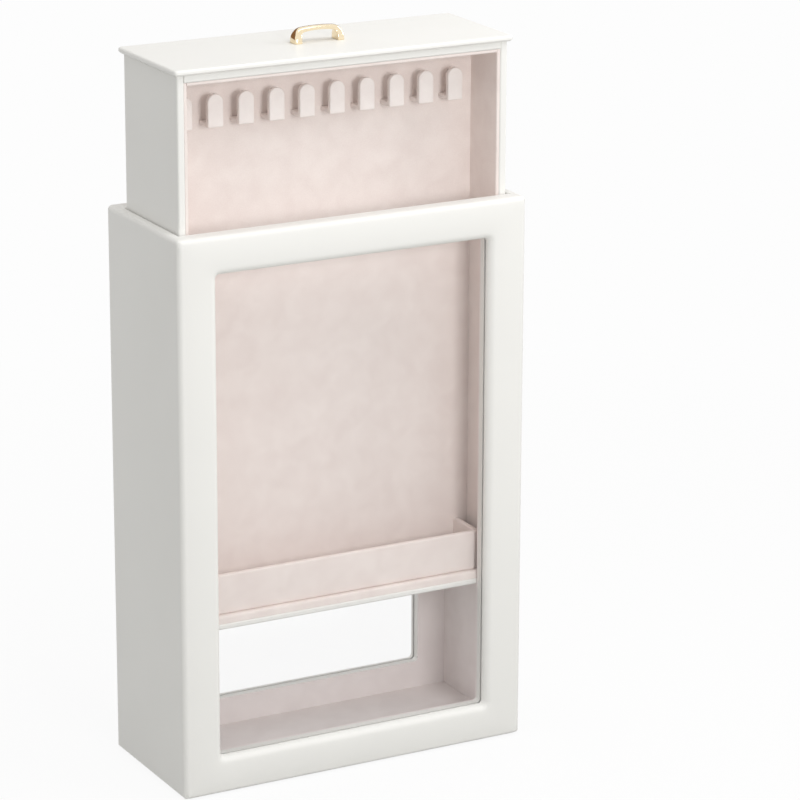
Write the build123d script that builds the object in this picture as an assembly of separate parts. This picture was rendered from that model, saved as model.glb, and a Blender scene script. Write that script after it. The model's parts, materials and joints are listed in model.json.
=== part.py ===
from build123d import *
import os

# Upright jewellery display case with one double-sided drawer that lifts out of the top.
# Millimetres. Origin at the bottom centre of the case, X to the right, Y to the back, Z up.
# The object is the same seen from the front and from behind, so each rear piece is the
# front one turned half way round Z.

# Case, outside
CASE_WIDTH = 235.0
CASE_DEPTH = 100.0
CASE_HEIGHT = 352.0
OUTER_RADIUS = 3.0
BOTTOM_CHAMFER = 1.2

# Case, wall layers from the outside in
FELT = 1.0
FELT_INSET = 6.0
BOARD = 5.0
BACKING = 6.0
FRAME_LINING = 1.0
SIDE_LINING = 1.2
BASE_BOARD = 4.3
FLOOR_LINING = 1.0
RIM_BAND = 8.0
FRONT_RIM_RADIUS = 2.0
SIDE_RIM_RADIUS = 1.0

# Windows, the same at the front and at the back
STILE = 25.5
RAIL = 24.0
WINDOW_CORNER = 2.5
WINDOW_EDGE_RADIUS = 4.0
PANE = 1.8
PANE_OVERLAP = 6.0
PANE_PLAY = 0.1

# Drawer: how it fits the case, and how far it stands raised at rest
SLIDE_GAP = 1.0
FLOOR_CLEARANCE = 0.5
RAISED = 94.5

# Drawer, boards and linings
SIDE_WALL = 4.8
TOP_BOARD = 4.8
BOTTOM_BOARD = 3.6
BOARD_EDGE_RADIUS = 1.2
CENTRE_PANEL = 8.5
PANEL_GROOVE = 1.5
GROOVE_PLAY = 0.1
DRAWER_LINING = 2.0
LINING_SETBACK = 0.6
LINING_EDGE_RADIUS = 0.9
FLOOR_PAD = 4.8
PAD_EDGE_RADIUS = 2.2

# Trays at the foot of the drawer
TRAY_WIDTH = 195.0
TRAY_HEIGHT = 25.3
TRAY_WALL = 3.7
TRAY_SETBACK = 4.0
TRAY_CORNER = 5.0
TRAY_CHAMFER = 0.9

# Hooks: ten on each side of the centre panel, the two rows staggered
HOOK_COUNT = 10
HOOK_PITCH = 20.2
HOOK_WIDTH = 10.0
HOOK_HEIGHT = 20.0
HOOK_REACH = 12.5
HOOK_PADDLE = 3.5
HOOK_ARM = 2.6
HOOK_INNER_RADIUS = 1.2
HOOK_BELOW_LID = 18.0
TENON_WIDTH = 6.0
TENON_HEIGHT = 1.8
TENON_DEPTH = 3.5
TENON_PLAY = 0.05

# Lid and its bow handle
LID_WIDTH = 225.6
LID_DEPTH = 80.0
LID = 3.6
LID_CORNER = 2.0
LID_TOP_RADIUS = 1.4
LID_CHAMFER = 1.2
HANDLE_LENGTH = 34.0
HANDLE_HEIGHT = 9.8
HANDLE_SHOULDER = 8.6
HANDLE_DEPTH = 9.0
HANDLE_LEG = 5.0
HANDLE_STRAP = 2.4
HANDLE_OUTER_RADIUS = 4.7
HANDLE_INNER_RADIUS = 2.2
HANDLE_CHAMFER = 0.6
SCREW_DIAMETER = 2.5
SCREW_HEAD_DIAMETER = 5.0
SCREW_HEAD_HEIGHT = 1.9
SCREW_IN_HANDLE = 4.6
SCREW_PLAY = 0.05

# Worked out from the sizes above
SIDE_X = CASE_WIDTH / 2
FRONT_Y = -CASE_DEPTH / 2
BACKING_Y = FRONT_Y + BOARD
FRAME_LINING_Y = BACKING_Y + BACKING
INNER_Y = FRAME_LINING_Y + FRAME_LINING
LINING_X = SIDE_X - BOARD
INNER_X = LINING_X - SIDE_LINING
BASE_TOP = FELT + BASE_BOARD
FLOOR_TOP = BASE_TOP + FLOOR_LINING
BAND_Z = CASE_HEIGHT - RIM_BAND
WINDOW_WIDTH = CASE_WIDTH - 2 * STILE
WINDOW_HEIGHT = CASE_HEIGHT - 2 * RAIL
WINDOW_MIDDLE = CASE_HEIGHT / 2

WALL_X = INNER_X - SLIDE_GAP
WALL_IN_X = WALL_X - SIDE_WALL
CLEAR_X = WALL_IN_X - DRAWER_LINING
DRAWER_Y = INNER_Y + SLIDE_GAP
LID_BOTTOM = CASE_HEIGHT + RAISED
LID_TOP = LID_BOTTOM + LID
DRAWER_BOTTOM = FLOOR_TOP + FLOOR_CLEARANCE + RAISED
BOTTOM_BOARD_TOP = DRAWER_BOTTOM + BOTTOM_BOARD
TOP_BOARD_Z = LID_BOTTOM - TOP_BOARD
PAD_TOP = BOTTOM_BOARD_TOP + FLOOR_PAD
PANEL_Y = -CENTRE_PANEL / 2
HOOK_Z = LID_BOTTOM - HOOK_BELOW_LID - HOOK_HEIGHT
HOOK_SHIFT = -HOOK_PITCH / 4
SCREW_X = (HANDLE_LENGTH - HANDLE_LEG) / 2


def block(x, y, z):
    """Box between two limits on each axis."""
    corner = Pos(x[0], y[0], z[0])
    return corner * Box(x[1] - x[0], y[1] - y[0], z[1] - z[0], align=(Align.MIN,) * 3)


def turned(part):
    """The same piece half way round Z, which takes it from the front to the back."""
    return Rot(0, 0, 180) * part


def upright(outline, y, depth):
    """Outline drawn with X across and Z up, pushed back from y by a depth."""
    plane = Plane(origin=(0, y, 0), x_dir=(1, 0, 0), z_dir=(0, -1, 0))
    return extrude(plane * outline, -depth)


def window_prism(y, depth, grow=0.0):
    """Space of a window, its corners rounded, larger all round by grow."""
    outline = RectangleRounded(
        WINDOW_WIDTH + 2 * grow, WINDOW_HEIGHT + 2 * grow, WINDOW_CORNER + grow
    )
    return upright(Pos(0, WINDOW_MIDDLE) * outline, y, depth)


# Case

def case_envelope():
    """Outer form of the case, every outer edge rounded as the wrapping rounds it."""
    body = block((-SIDE_X, SIDE_X), (FRONT_Y, -FRONT_Y), (FELT, CASE_HEIGHT))
    underside = body.edges().group_by(Axis.Z)[0]
    body = fillet(body.edges() - underside, OUTER_RADIUS)
    return chamfer(body.faces().sort_by(Axis.Z)[0].edges(), BOTTOM_CHAMFER)


def mitred_board(*plan):
    """Upright board of the given plan, mitred at both ends."""
    return extrude(make_face(Polyline(*plan, close=True)), CASE_HEIGHT)


def case_front_frame():
    """Window frame with mitred ends; its top rail reaches back over the backing frame."""
    board = mitred_board(
        (-SIDE_X, FRONT_Y), (SIDE_X, FRONT_Y), (LINING_X, BACKING_Y), (-LINING_X, BACKING_Y)
    )
    board -= window_prism(FRONT_Y, BOARD)
    opening = board.faces().sort_by(Axis.Y)[0].inner_wires()[0]
    board = fillet(opening.edges(), WINDOW_EDGE_RADIUS) & case_envelope()
    cap = block((-LINING_X, LINING_X), (BACKING_Y, INNER_Y), (BAND_Z, CASE_HEIGHT))
    inner_edge = cap.edges().filter_by(Axis.X).group_by(Axis.Y)[-1].sort_by(Axis.Z)[-1]
    return board + fillet(inner_edge, FRONT_RIM_RADIUS)


def case_right_panel():
    """Side board with mitred ends, thicker along the rim above the lining."""
    board = mitred_board(
        (SIDE_X, FRONT_Y), (SIDE_X, -FRONT_Y), (LINING_X, -BACKING_Y), (LINING_X, BACKING_Y)
    )
    band = block((INNER_X, LINING_X), (INNER_Y, -INNER_Y), (BAND_Z, CASE_HEIGHT))
    inner_edge = band.edges().filter_by(Axis.Y).group_by(Axis.X)[0].sort_by(Axis.Z)[-1]
    return (board & case_envelope()) + fillet(inner_edge, SIDE_RIM_RADIUS)


def front_pane():
    """Clear pane, flat, with the corners of its rebate."""
    return window_prism(BACKING_Y + PANE_PLAY / 2, PANE, PANE_OVERLAP)


def front_backing_frame():
    """Frame behind the window frame, rebated in front to hold the pane."""
    ring = block((-LINING_X, LINING_X), (BACKING_Y, FRAME_LINING_Y), (BASE_TOP, BAND_Z))
    ring -= window_prism(BACKING_Y, BACKING)
    return ring - window_prism(BACKING_Y, PANE + PANE_PLAY, PANE_OVERLAP + PANE_PLAY)


def front_frame_lining():
    """Velvet on the inside of the backing frame."""
    ring = block((-LINING_X, LINING_X), (FRAME_LINING_Y, INNER_Y), (BASE_TOP, BAND_Z))
    return ring - window_prism(FRAME_LINING_Y, FRAME_LINING)


def case_right_lining():
    """Velvet on the inside of a side board, up to the band along the rim."""
    return block((INNER_X, LINING_X), (INNER_Y, -INNER_Y), (BASE_TOP, BAND_Z))


def case_base_board():
    """Bottom of the case, between the four outer boards."""
    return block((-LINING_X, LINING_X), (BACKING_Y, -BACKING_Y), (FELT, BASE_TOP))


def case_floor_lining():
    """Velvet on the bottom of the case."""
    return block((-INNER_X, INNER_X), (INNER_Y, -INNER_Y), (BASE_TOP, FLOOR_TOP))


def base_felt():
    """Felt sheet that the case stands on, a little smaller than the case."""
    sheet = RectangleRounded(
        CASE_WIDTH - 2 * FELT_INSET, CASE_DEPTH - 2 * FELT_INSET, OUTER_RADIUS
    )
    return extrude(sheet, FELT)


# Drawer box

def drawer_right_wall():
    """Side wall of full height, grooved down the middle for the centre panel."""
    wall = block((WALL_IN_X, WALL_X), (DRAWER_Y, -DRAWER_Y), (DRAWER_BOTTOM, LID_BOTTOM))
    wall = fillet(wall.edges().filter_by(Axis.Z), BOARD_EDGE_RADIUS)
    half = CENTRE_PANEL / 2 + GROOVE_PLAY
    groove = (WALL_IN_X, WALL_IN_X + PANEL_GROOVE + GROOVE_PLAY)
    return wall - block(groove, (-half, half), (DRAWER_BOTTOM, LID_BOTTOM))


def drawer_top_board():
    """Top of the drawer box, grooved below for the centre panel, bored for the screws."""
    board = block((-WALL_IN_X, WALL_IN_X), (DRAWER_Y, -DRAWER_Y), (TOP_BOARD_Z, LID_BOTTOM))
    lower_edges = board.edges().filter_by(Axis.X).group_by(Axis.Z)[0]
    board = fillet(lower_edges, BOARD_EDGE_RADIUS)
    half = CENTRE_PANEL / 2 + GROOVE_PLAY
    groove = (TOP_BOARD_Z, TOP_BOARD_Z + PANEL_GROOVE + GROOVE_PLAY)
    board -= block((-WALL_IN_X, WALL_IN_X), (-half, half), groove)
    for x in (-SCREW_X, SCREW_X):
        board -= screw_space(x)
    return board


def drawer_bottom_board():
    """Bottom of the drawer box, its front and back edges rounded."""
    board = block(
        (-WALL_IN_X, WALL_IN_X), (DRAWER_Y, -DRAWER_Y), (DRAWER_BOTTOM, BOTTOM_BOARD_TOP)
    )
    return fillet(board.edges().filter_by(Axis.X), BOARD_EDGE_RADIUS)


def centre_panel():
    """Velvet-covered board let into the walls, with a mortise for every hook."""
    edge = WALL_IN_X + PANEL_GROOVE
    top = TOP_BOARD_Z + PANEL_GROOVE
    panel = block((-edge, edge), (PANEL_Y, -PANEL_Y), (BOTTOM_BOARD_TOP, top))
    for x in hook_places():
        mortise = tenon(x, TENON_PLAY)
        panel -= mortise
        panel -= turned(mortise)
    return panel


def front_side_lining(sign):
    """Velvet board on the inside of a side wall, in front of the centre panel."""
    board = block(
        (CLEAR_X, WALL_IN_X), (DRAWER_Y + LINING_SETBACK, PANEL_Y), (PAD_TOP, TOP_BOARD_Z)
    )
    front_edge = board.edges().filter_by(Axis.Z).group_by(Axis.Y)[0].sort_by(Axis.X)[0]
    board = fillet(front_edge, LINING_EDGE_RADIUS)
    return board if sign > 0 else mirror(board, Plane.YZ)


def front_top_lining():
    """Velvet board under the top board, in front of the centre panel."""
    board = block(
        (-CLEAR_X, CLEAR_X),
        (DRAWER_Y + LINING_SETBACK, PANEL_Y),
        (TOP_BOARD_Z - DRAWER_LINING, TOP_BOARD_Z),
    )
    front_edge = board.edges().filter_by(Axis.X).group_by(Axis.Y)[0].sort_by(Axis.Z)[0]
    return fillet(front_edge, LINING_EDGE_RADIUS)


def front_floor_pad():
    """Padded velvet floor in front of the centre panel, with a round front edge."""
    pad = block(
        (-WALL_IN_X, WALL_IN_X),
        (DRAWER_Y + LINING_SETBACK, PANEL_Y),
        (BOTTOM_BOARD_TOP, PAD_TOP),
    )
    front_edge = pad.edges().filter_by(Axis.X).group_by(Axis.Y)[0].sort_by(Axis.Z)[-1]
    return fillet(front_edge, PAD_EDGE_RADIUS)


def front_tray_wall():
    """Low wall on the floor pad, bent round both front corners back to the panel."""
    front = DRAWER_Y + TRAY_SETBACK
    depth = PANEL_Y - front
    outer = block((-TRAY_WIDTH / 2, TRAY_WIDTH / 2), (front, PANEL_Y), (0, TRAY_HEIGHT))
    outer = fillet(outer.edges().filter_by(Axis.Z).group_by(Axis.Y)[0], TRAY_CORNER)
    inner = block(
        (-TRAY_WIDTH / 2 + TRAY_WALL, TRAY_WIDTH / 2 - TRAY_WALL),
        (front + TRAY_WALL, front + TRAY_WALL + depth),
        (0, TRAY_HEIGHT),
    )
    inner_corners = inner.edges().filter_by(Axis.Z).group_by(Axis.Y)[0]
    wall = outer - fillet(inner_corners, TRAY_CORNER - TRAY_WALL)
    top_edges = wall.faces().sort_by(Axis.Z)[-1].edges()
    free_edges = top_edges.filter_by(lambda edge: edge.center().Y < PANEL_Y - TRAY_CHAMFER)
    return Pos(0, 0, PAD_TOP) * chamfer(free_edges, TRAY_CHAMFER)


# Hooks

def hook_places():
    """Middle of each hook of the front row, a quarter pitch to the left of centre."""
    middle = (HOOK_COUNT - 1) / 2
    return [HOOK_SHIFT + (i - middle) * HOOK_PITCH for i in range(HOOK_COUNT)]


def tenon(x, play=0.0):
    """Tongue by which a hook is glued into the centre panel."""
    half_width = TENON_WIDTH / 2 + play
    middle = HOOK_Z + HOOK_ARM / 2
    half_height = TENON_HEIGHT / 2 + play
    return block(
        (x - half_width, x + half_width),
        (PANEL_Y, PANEL_Y + TENON_DEPTH + play),
        (middle - half_height, middle + half_height),
    )


def front_hook(x):
    """Hook with a flat arm and an upright paddle that ends in a half circle."""
    tip = PANEL_Y - HOOK_REACH
    top = HOOK_Z + HOOK_HEIGHT
    side = Polyline(
        (PANEL_Y, HOOK_Z),
        (tip, HOOK_Z),
        (tip, top),
        (tip + HOOK_PADDLE, top),
        (tip + HOOK_PADDLE, HOOK_Z + HOOK_ARM),
        (PANEL_Y, HOOK_Z + HOOK_ARM),
        close=True,
    )
    blank = extrude(Plane.YZ * make_face(side), HOOK_WIDTH / 2, both=True)
    corner = blank.edges().filter_by(Axis.X).sort_by_distance(
        (0, tip + HOOK_PADDLE, HOOK_Z + HOOK_ARM)
    )[0]
    blank = fillet(corner, HOOK_INNER_RADIUS)
    shoulder = top - HOOK_WIDTH / 2
    front = Pos(0, (HOOK_Z + shoulder) / 2) * Rectangle(HOOK_WIDTH, shoulder - HOOK_Z)
    front += Pos(0, shoulder) * Circle(HOOK_WIDTH / 2)
    return Pos(x, 0, 0) * (blank & upright(front, tip, HOOK_REACH)) + tenon(x)


# Lid, handle and screws

def lid_panel():
    """Lid that overhangs the drawer box all round and comes down on the rim."""
    board = extrude(RectangleRounded(LID_WIDTH, LID_DEPTH, LID_CORNER), LID)
    board = fillet(board.faces().sort_by(Axis.Z)[-1].edges(), LID_TOP_RADIUS)
    board = chamfer(board.faces().sort_by(Axis.Z)[0].edges(), LID_CHAMFER)
    lid = Pos(0, 0, LID_BOTTOM) * board
    for x in (-SCREW_X, SCREW_X):
        lid -= screw_space(x)
    return lid


def bow(half_length, corner, crest, radius):
    """Outline of a bow: upright sides, a slightly arched top and round shoulders."""
    sides = Line((-half_length, 0), (-half_length, corner))
    sides += Line((half_length, 0), (half_length, corner))
    top = ThreePointArc((-half_length, corner), (0, crest), (half_length, corner))
    face = make_face(sides + top + Line((-half_length, 0), (half_length, 0)))
    return fillet(face.vertices().group_by(Axis.Y)[-1], radius)


def lid_handle():
    """Polished bow handle, its two legs tapped from below."""
    outer = bow(HANDLE_LENGTH / 2, HANDLE_SHOULDER, HANDLE_HEIGHT, HANDLE_OUTER_RADIUS)
    inner = bow(
        HANDLE_LENGTH / 2 - HANDLE_LEG,
        HANDLE_SHOULDER - HANDLE_STRAP,
        HANDLE_HEIGHT - HANDLE_STRAP,
        HANDLE_INNER_RADIUS,
    )
    strap = upright(outer - inner, -HANDLE_DEPTH / 2, HANDLE_DEPTH)
    sides = strap.faces().filter_by(Axis.Y).edges()
    lifted = sides.filter_by(lambda edge: edge.center().Z > HANDLE_CHAMFER)
    handle = Pos(0, 0, LID_TOP) * chamfer(lifted, HANDLE_CHAMFER)
    for x in (-SCREW_X, SCREW_X):
        handle -= screw_space(x)
    return handle


def screw_profile(play):
    """Half section of a screw: head below, shank above."""
    head = SCREW_HEAD_DIAMETER / 2 + play
    shank = SCREW_DIAMETER / 2 + play
    under_head = SCREW_HEAD_HEIGHT + play
    tip = LID_TOP + SCREW_IN_HANDLE + play - (TOP_BOARD_Z + PANEL_GROOVE + GROOVE_PLAY)
    outline = Polyline(
        (0, 0), (head, 0), (head, under_head), (shank, under_head), (shank, tip), (0, tip),
        close=True,
    )
    return Plane.XZ * make_face(outline)


def screw(x, play=0.0):
    """Screw whose head lies in the top board, above the groove of the centre panel."""
    solid = revolve(screw_profile(play), Axis.Z)
    return Pos(x, 0, TOP_BOARD_Z + PANEL_GROOVE + GROOVE_PLAY) * solid


def screw_space(x):
    """Hole that a screw passes through, with play all round."""
    return screw(x, SCREW_PLAY)


def handle_screws():
    """The two screws, as separate solids."""
    return Compound([screw(-SCREW_X), screw(SCREW_X)])


def case_parts():
    """Every piece of the case, by name."""
    return {
        "case_front_frame": case_front_frame(),
        "case_rear_frame": turned(case_front_frame()),
        "case_right_panel": case_right_panel(),
        "case_left_panel": turned(case_right_panel()),
        "front_pane": front_pane(),
        "rear_pane": turned(front_pane()),
        "front_backing_frame": front_backing_frame(),
        "rear_backing_frame": turned(front_backing_frame()),
        "front_frame_lining": front_frame_lining(),
        "rear_frame_lining": turned(front_frame_lining()),
        "case_right_lining": case_right_lining(),
        "case_left_lining": turned(case_right_lining()),
        "case_base_board": case_base_board(),
        "case_floor_lining": case_floor_lining(),
        "base_felt": base_felt(),
    }


def drawer_parts():
    """Every piece of the drawer, by name."""
    parts = {
        "lid_panel": lid_panel(),
        "lid_handle": lid_handle(),
        "handle_screws": handle_screws(),
        "drawer_top_board": drawer_top_board(),
        "drawer_right_wall": drawer_right_wall(),
        "drawer_left_wall": turned(drawer_right_wall()),
        "drawer_bottom_board": drawer_bottom_board(),
        "centre_panel": centre_panel(),
        "front_right_lining": front_side_lining(1),
        "front_left_lining": front_side_lining(-1),
        "rear_right_lining": turned(front_side_lining(-1)),
        "rear_left_lining": turned(front_side_lining(1)),
        "front_top_lining": front_top_lining(),
        "rear_top_lining": turned(front_top_lining()),
        "front_floor_pad": front_floor_pad(),
        "rear_floor_pad": turned(front_floor_pad()),
        "front_tray_wall": front_tray_wall(),
        "rear_tray_wall": turned(front_tray_wall()),
    }
    for number, x in enumerate(hook_places(), start=1):
        hook = front_hook(x)
        parts[f"front_hook_{number:02d}"] = hook
        parts[f"rear_hook_{number:02d}"] = turned(hook)
    return parts


os.makedirs("parts", exist_ok=True)
for name, part in {**case_parts(), **drawer_parts()}.items():
    export_step(part, f"parts/{name}.step")
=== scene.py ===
"""Finishes, soft pieces and studio of an upright jewellery case with a lift-out drawer.

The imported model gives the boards, panes and linings. This script dresses them, and makes the
pieces whose form needs a finer mesh: window frames, hooks, tray walls, floor pads and handle.
All sizes are in metres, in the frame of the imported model.
"""
import json
import logging
import math
from collections.abc import Iterable
from dataclasses import dataclass, field
from enum import Enum
from typing import Any

import bmesh
import bpy
from bmesh.types import BMesh, BMVert
from bpy.types import Material, Mesh, Node, NodeSocket, NodeTree, Object
from mathutils import Matrix, Vector

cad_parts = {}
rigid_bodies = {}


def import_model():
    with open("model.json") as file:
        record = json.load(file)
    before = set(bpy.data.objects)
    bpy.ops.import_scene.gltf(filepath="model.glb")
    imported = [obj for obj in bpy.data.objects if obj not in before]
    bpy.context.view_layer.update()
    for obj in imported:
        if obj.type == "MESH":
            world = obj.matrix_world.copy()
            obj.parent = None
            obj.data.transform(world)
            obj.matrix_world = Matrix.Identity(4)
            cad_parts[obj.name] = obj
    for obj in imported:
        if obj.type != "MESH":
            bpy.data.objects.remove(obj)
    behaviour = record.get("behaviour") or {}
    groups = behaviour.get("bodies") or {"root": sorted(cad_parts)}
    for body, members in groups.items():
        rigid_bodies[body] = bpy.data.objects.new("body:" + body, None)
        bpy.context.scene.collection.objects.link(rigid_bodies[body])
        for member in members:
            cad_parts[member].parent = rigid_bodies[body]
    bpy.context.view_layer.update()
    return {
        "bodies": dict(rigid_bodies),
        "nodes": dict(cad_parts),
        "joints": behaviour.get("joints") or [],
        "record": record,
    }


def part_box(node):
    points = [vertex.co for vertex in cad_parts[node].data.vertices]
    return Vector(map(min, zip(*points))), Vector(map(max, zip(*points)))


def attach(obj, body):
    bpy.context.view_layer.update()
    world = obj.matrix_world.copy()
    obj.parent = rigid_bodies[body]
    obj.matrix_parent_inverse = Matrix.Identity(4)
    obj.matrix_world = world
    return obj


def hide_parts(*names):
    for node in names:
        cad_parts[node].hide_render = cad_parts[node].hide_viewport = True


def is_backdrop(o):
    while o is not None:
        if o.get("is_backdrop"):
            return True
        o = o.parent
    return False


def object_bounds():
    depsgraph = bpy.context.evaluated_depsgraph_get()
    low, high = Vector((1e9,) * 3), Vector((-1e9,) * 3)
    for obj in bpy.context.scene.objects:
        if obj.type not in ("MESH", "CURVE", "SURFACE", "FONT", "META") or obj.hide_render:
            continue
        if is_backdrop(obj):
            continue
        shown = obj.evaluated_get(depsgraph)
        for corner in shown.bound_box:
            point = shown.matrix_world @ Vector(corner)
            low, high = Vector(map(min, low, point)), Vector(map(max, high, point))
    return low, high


log = logging.getLogger("jewellery_case")

MM = 0.001
DRAWER = "drawer"
CASE = "case"
FLOAT = "NodeSocketFloat"
Point = tuple[float, float]
CASE_LININGS = (
    "front_frame_lining", "rear_frame_lining", "case_left_lining", "case_right_lining",
    "case_floor_lining",
)


class Slot(Enum):
    """Material slots of the record."""

    LEATHERETTE = "white_leatherette"
    VELVET = "pink_velvet"
    GOLD = "gold_handle"
    PANE = "clear_pane"
    STEEL = "screw_steel"
    FELT = "base_felt"


class Side(Enum):
    """The two sides of the drawer, each the other one turned half way round."""

    FRONT = "front"
    REAR = "rear"

    def placed(self, mesh: Mesh) -> Mesh:
        """Leaves a mesh made for the front where it is, or turns it to the rear."""
        if self is Side.REAR:
            mesh.transform(Matrix.Rotation(math.pi, 4, "Z"))
        return mesh


# Helpers

def linear(colour: str) -> tuple[float, float, float, float]:
    """Turns a colour as it is seen into the numbers that Blender works with.

    Args:
        colour: sRGB hex value, such as "#e8d2cb".

    Returns:
        Linear red, green and blue, and an alpha of 1.
    """
    values = [int(colour[i:i + 2], 16) / 255 for i in (1, 3, 5)]
    red, green, blue = (
        value / 12.92 if value <= 0.04045 else ((value + 0.055) / 1.055) ** 2.4
        for value in values
    )
    return red, green, blue, 1.0


def add_node(
    tree: NodeTree,
    kind: str,
    settings: dict[str, Any] | None = None,
    inputs: dict[str | int, Any] | None = None,
) -> Node:
    """Adds a node to a shader or geometry tree.

    Args:
        tree: Tree that takes the node.
        kind: Blender's identifier of the node.
        settings: Values of the node's own properties.
        inputs: For each input, by name or number, a value or the socket that feeds it.

    Returns:
        The new node.
    """
    node = tree.nodes.new(kind)
    for name, value in (settings or {}).items():
        setattr(node, name, value)
    for key, value in (inputs or {}).items():
        if isinstance(value, NodeSocket):
            tree.links.new(value, node.inputs[key])
        else:
            node.inputs[key].default_value = value
    return node


def blank_material(name: str) -> tuple[Material, NodeTree]:
    """Makes a material with an empty node tree, and gives both."""
    material = bpy.data.materials.new(name)
    material.use_nodes = True
    material.node_tree.nodes.clear()
    return material, material.node_tree


def spaced(start: float, end: float, count: int) -> list[float]:
    """Gives as many evenly spaced values as asked for, from the start on and without the end."""
    return [start + (end - start) * i / count for i in range(count)]


def around(centre: Point, radius: float, angle: float) -> Point:
    """Gives the point of a circle at an angle."""
    return centre[0] + radius * math.cos(angle), centre[1] + radius * math.sin(angle)


def reckon(tree: NodeTree, operation: str, first: Any, second: Any) -> NodeSocket:
    """Adds a Math node, by the name of its operation, and gives its result."""
    settings = {"operation": operation}
    return add_node(tree, "ShaderNodeMath", settings, {0: first, 1: second}).outputs[0]


def noise(tree: NodeTree, size: float, **more: float) -> NodeSocket:
    """Adds a noise that follows the piece.

    Args:
        tree: Tree that takes the nodes.
        size: Size of its features.
        more: Other inputs of the noise.

    Returns:
        The noise, from 0 to 1.
    """
    place = add_node(tree, "ShaderNodeTexCoord").outputs["Object"]
    inputs = {"Vector": place, "Scale": 1 / size, **more}
    return add_node(tree, "ShaderNodeTexNoise", {}, inputs).outputs[0]


def between(tree: NodeTree, share: NodeSocket, low: float, high: float) -> NodeSocket:
    """Gives the low value where the share is 0 and the high one where it is 1."""
    return add_node(tree, "ShaderNodeMapRange", {}, {0: share, 3: low, 4: high}).outputs[0]


def blend(tree: NodeTree, share: NodeSocket, first: str, second: str) -> NodeSocket:
    """Gives the first colour where the share is 0 and the second one where it is 1."""
    inputs = {0: share, 6: linear(first), 7: linear(second)}
    return add_node(tree, "ShaderNodeMix", {"data_type": "RGBA"}, inputs).outputs[2]


def relief(tree: NodeTree, strength: float, depth: float, height: NodeSocket) -> NodeSocket:
    """Raises a fine grain on the surface."""
    inputs = {"Strength": strength, "Distance": depth, "Height": height}
    return add_node(tree, "ShaderNodeBump", {}, inputs).outputs[0]


def surface(tree: NodeTree, inputs: dict[str | int, Any]) -> None:
    """Ends a material with a Principled surface of the given inputs."""
    shader = add_node(tree, "ShaderNodeBsdfPrincipled", {}, inputs)
    add_node(tree, "ShaderNodeOutputMaterial", {}, {"Surface": shader.outputs[0]})


def dress(piece: Object, material: Material) -> None:
    """Gives a piece one material all over."""
    piece.data.materials.clear()
    piece.data.materials.append(material)


def smooth(mesh: Mesh) -> None:
    """Shades every face of a mesh smooth."""
    mesh.polygons.foreach_set("use_smooth", [True] * len(mesh.polygons))


def round_off(piece: Object, width: float, steps: int, limit: float) -> None:
    """Adds a bevel to a piece.

    Args:
        piece: The piece.
        width: Width of the bevel.
        steps: Faces across it.
        limit: Angle in degrees from which an edge takes it.
    """
    bevel = piece.modifiers.new("edge", "BEVEL")
    bevel.width = width
    bevel.segments = steps
    bevel.limit_method = "ANGLE"
    bevel.angle_limit = math.radians(limit)


def soften(mesh: BMesh, limit: float = 35.0) -> None:
    """Shades a mesh smooth but for its sharp edges.

    Args:
        mesh: The mesh.
        limit: Angle in degrees from which an edge stays sharp.
    """
    for face in mesh.faces:
        face.smooth = True
    for edge in mesh.edges:
        edge.smooth = edge.calc_face_angle(math.pi) < math.radians(limit)


def new_piece(name: str, mesh: Mesh) -> Object:
    """Makes an object of a mesh whose place is in its vertices.

    Args:
        name: Name of the piece.
        mesh: Its mesh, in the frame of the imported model.

    Returns:
        The object, at the origin.
    """
    piece = bpy.data.objects.new(name, mesh)
    bpy.context.scene.collection.objects.link(piece)
    return piece


def mesh_piece(name: str, mesh: BMesh) -> Object:
    """Makes an object of a mesh that is still open, as new_piece does, and frees that mesh."""
    data = bpy.data.meshes.new(name)
    mesh.to_mesh(data)
    mesh.free()
    return new_piece(name, data)


def bridge(mesh: BMesh, row: list[BMVert], other: list[BMVert], closed: bool = True) -> None:
    """Joins two rows of as many vertices by a band of faces.

    Args:
        mesh: Mesh that takes the faces.
        row: Vertices of the first row.
        other: Vertices of the second row.
        closed: Whether the band runs on from the last vertices to the first.
    """
    for i in range(len(row) if closed else len(row) - 1):
        j = (i + 1) % len(row)
        mesh.faces.new((row[i], row[j], other[j], other[i]))


def settle(piece: Object) -> None:
    """Turns what a piece's modifiers make into its plain mesh and removes them."""
    bpy.context.view_layer.update()
    depsgraph = bpy.context.evaluated_depsgraph_get()
    mesh = bpy.data.meshes.new_from_object(piece.evaluated_get(depsgraph), depsgraph=depsgraph)
    mesh.name = piece.name
    piece.modifiers.clear()
    piece.data = mesh


# Finishes

def metal(finish: Any) -> Material:
    """Builds a metal whose gloss drifts a little from place to place.

    Args:
        finish: Finish with the name, colour, roughness, grain and detail of the metal.

    Returns:
        The material.
    """
    material, tree = blank_material(finish.name)
    gloss = between(tree, noise(tree, finish.grain, Detail=finish.detail), *finish.roughness)
    surface(tree, {"Base Color": linear(finish.colour), "Metallic": 1.0, "Roughness": gloss})
    return material


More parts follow.
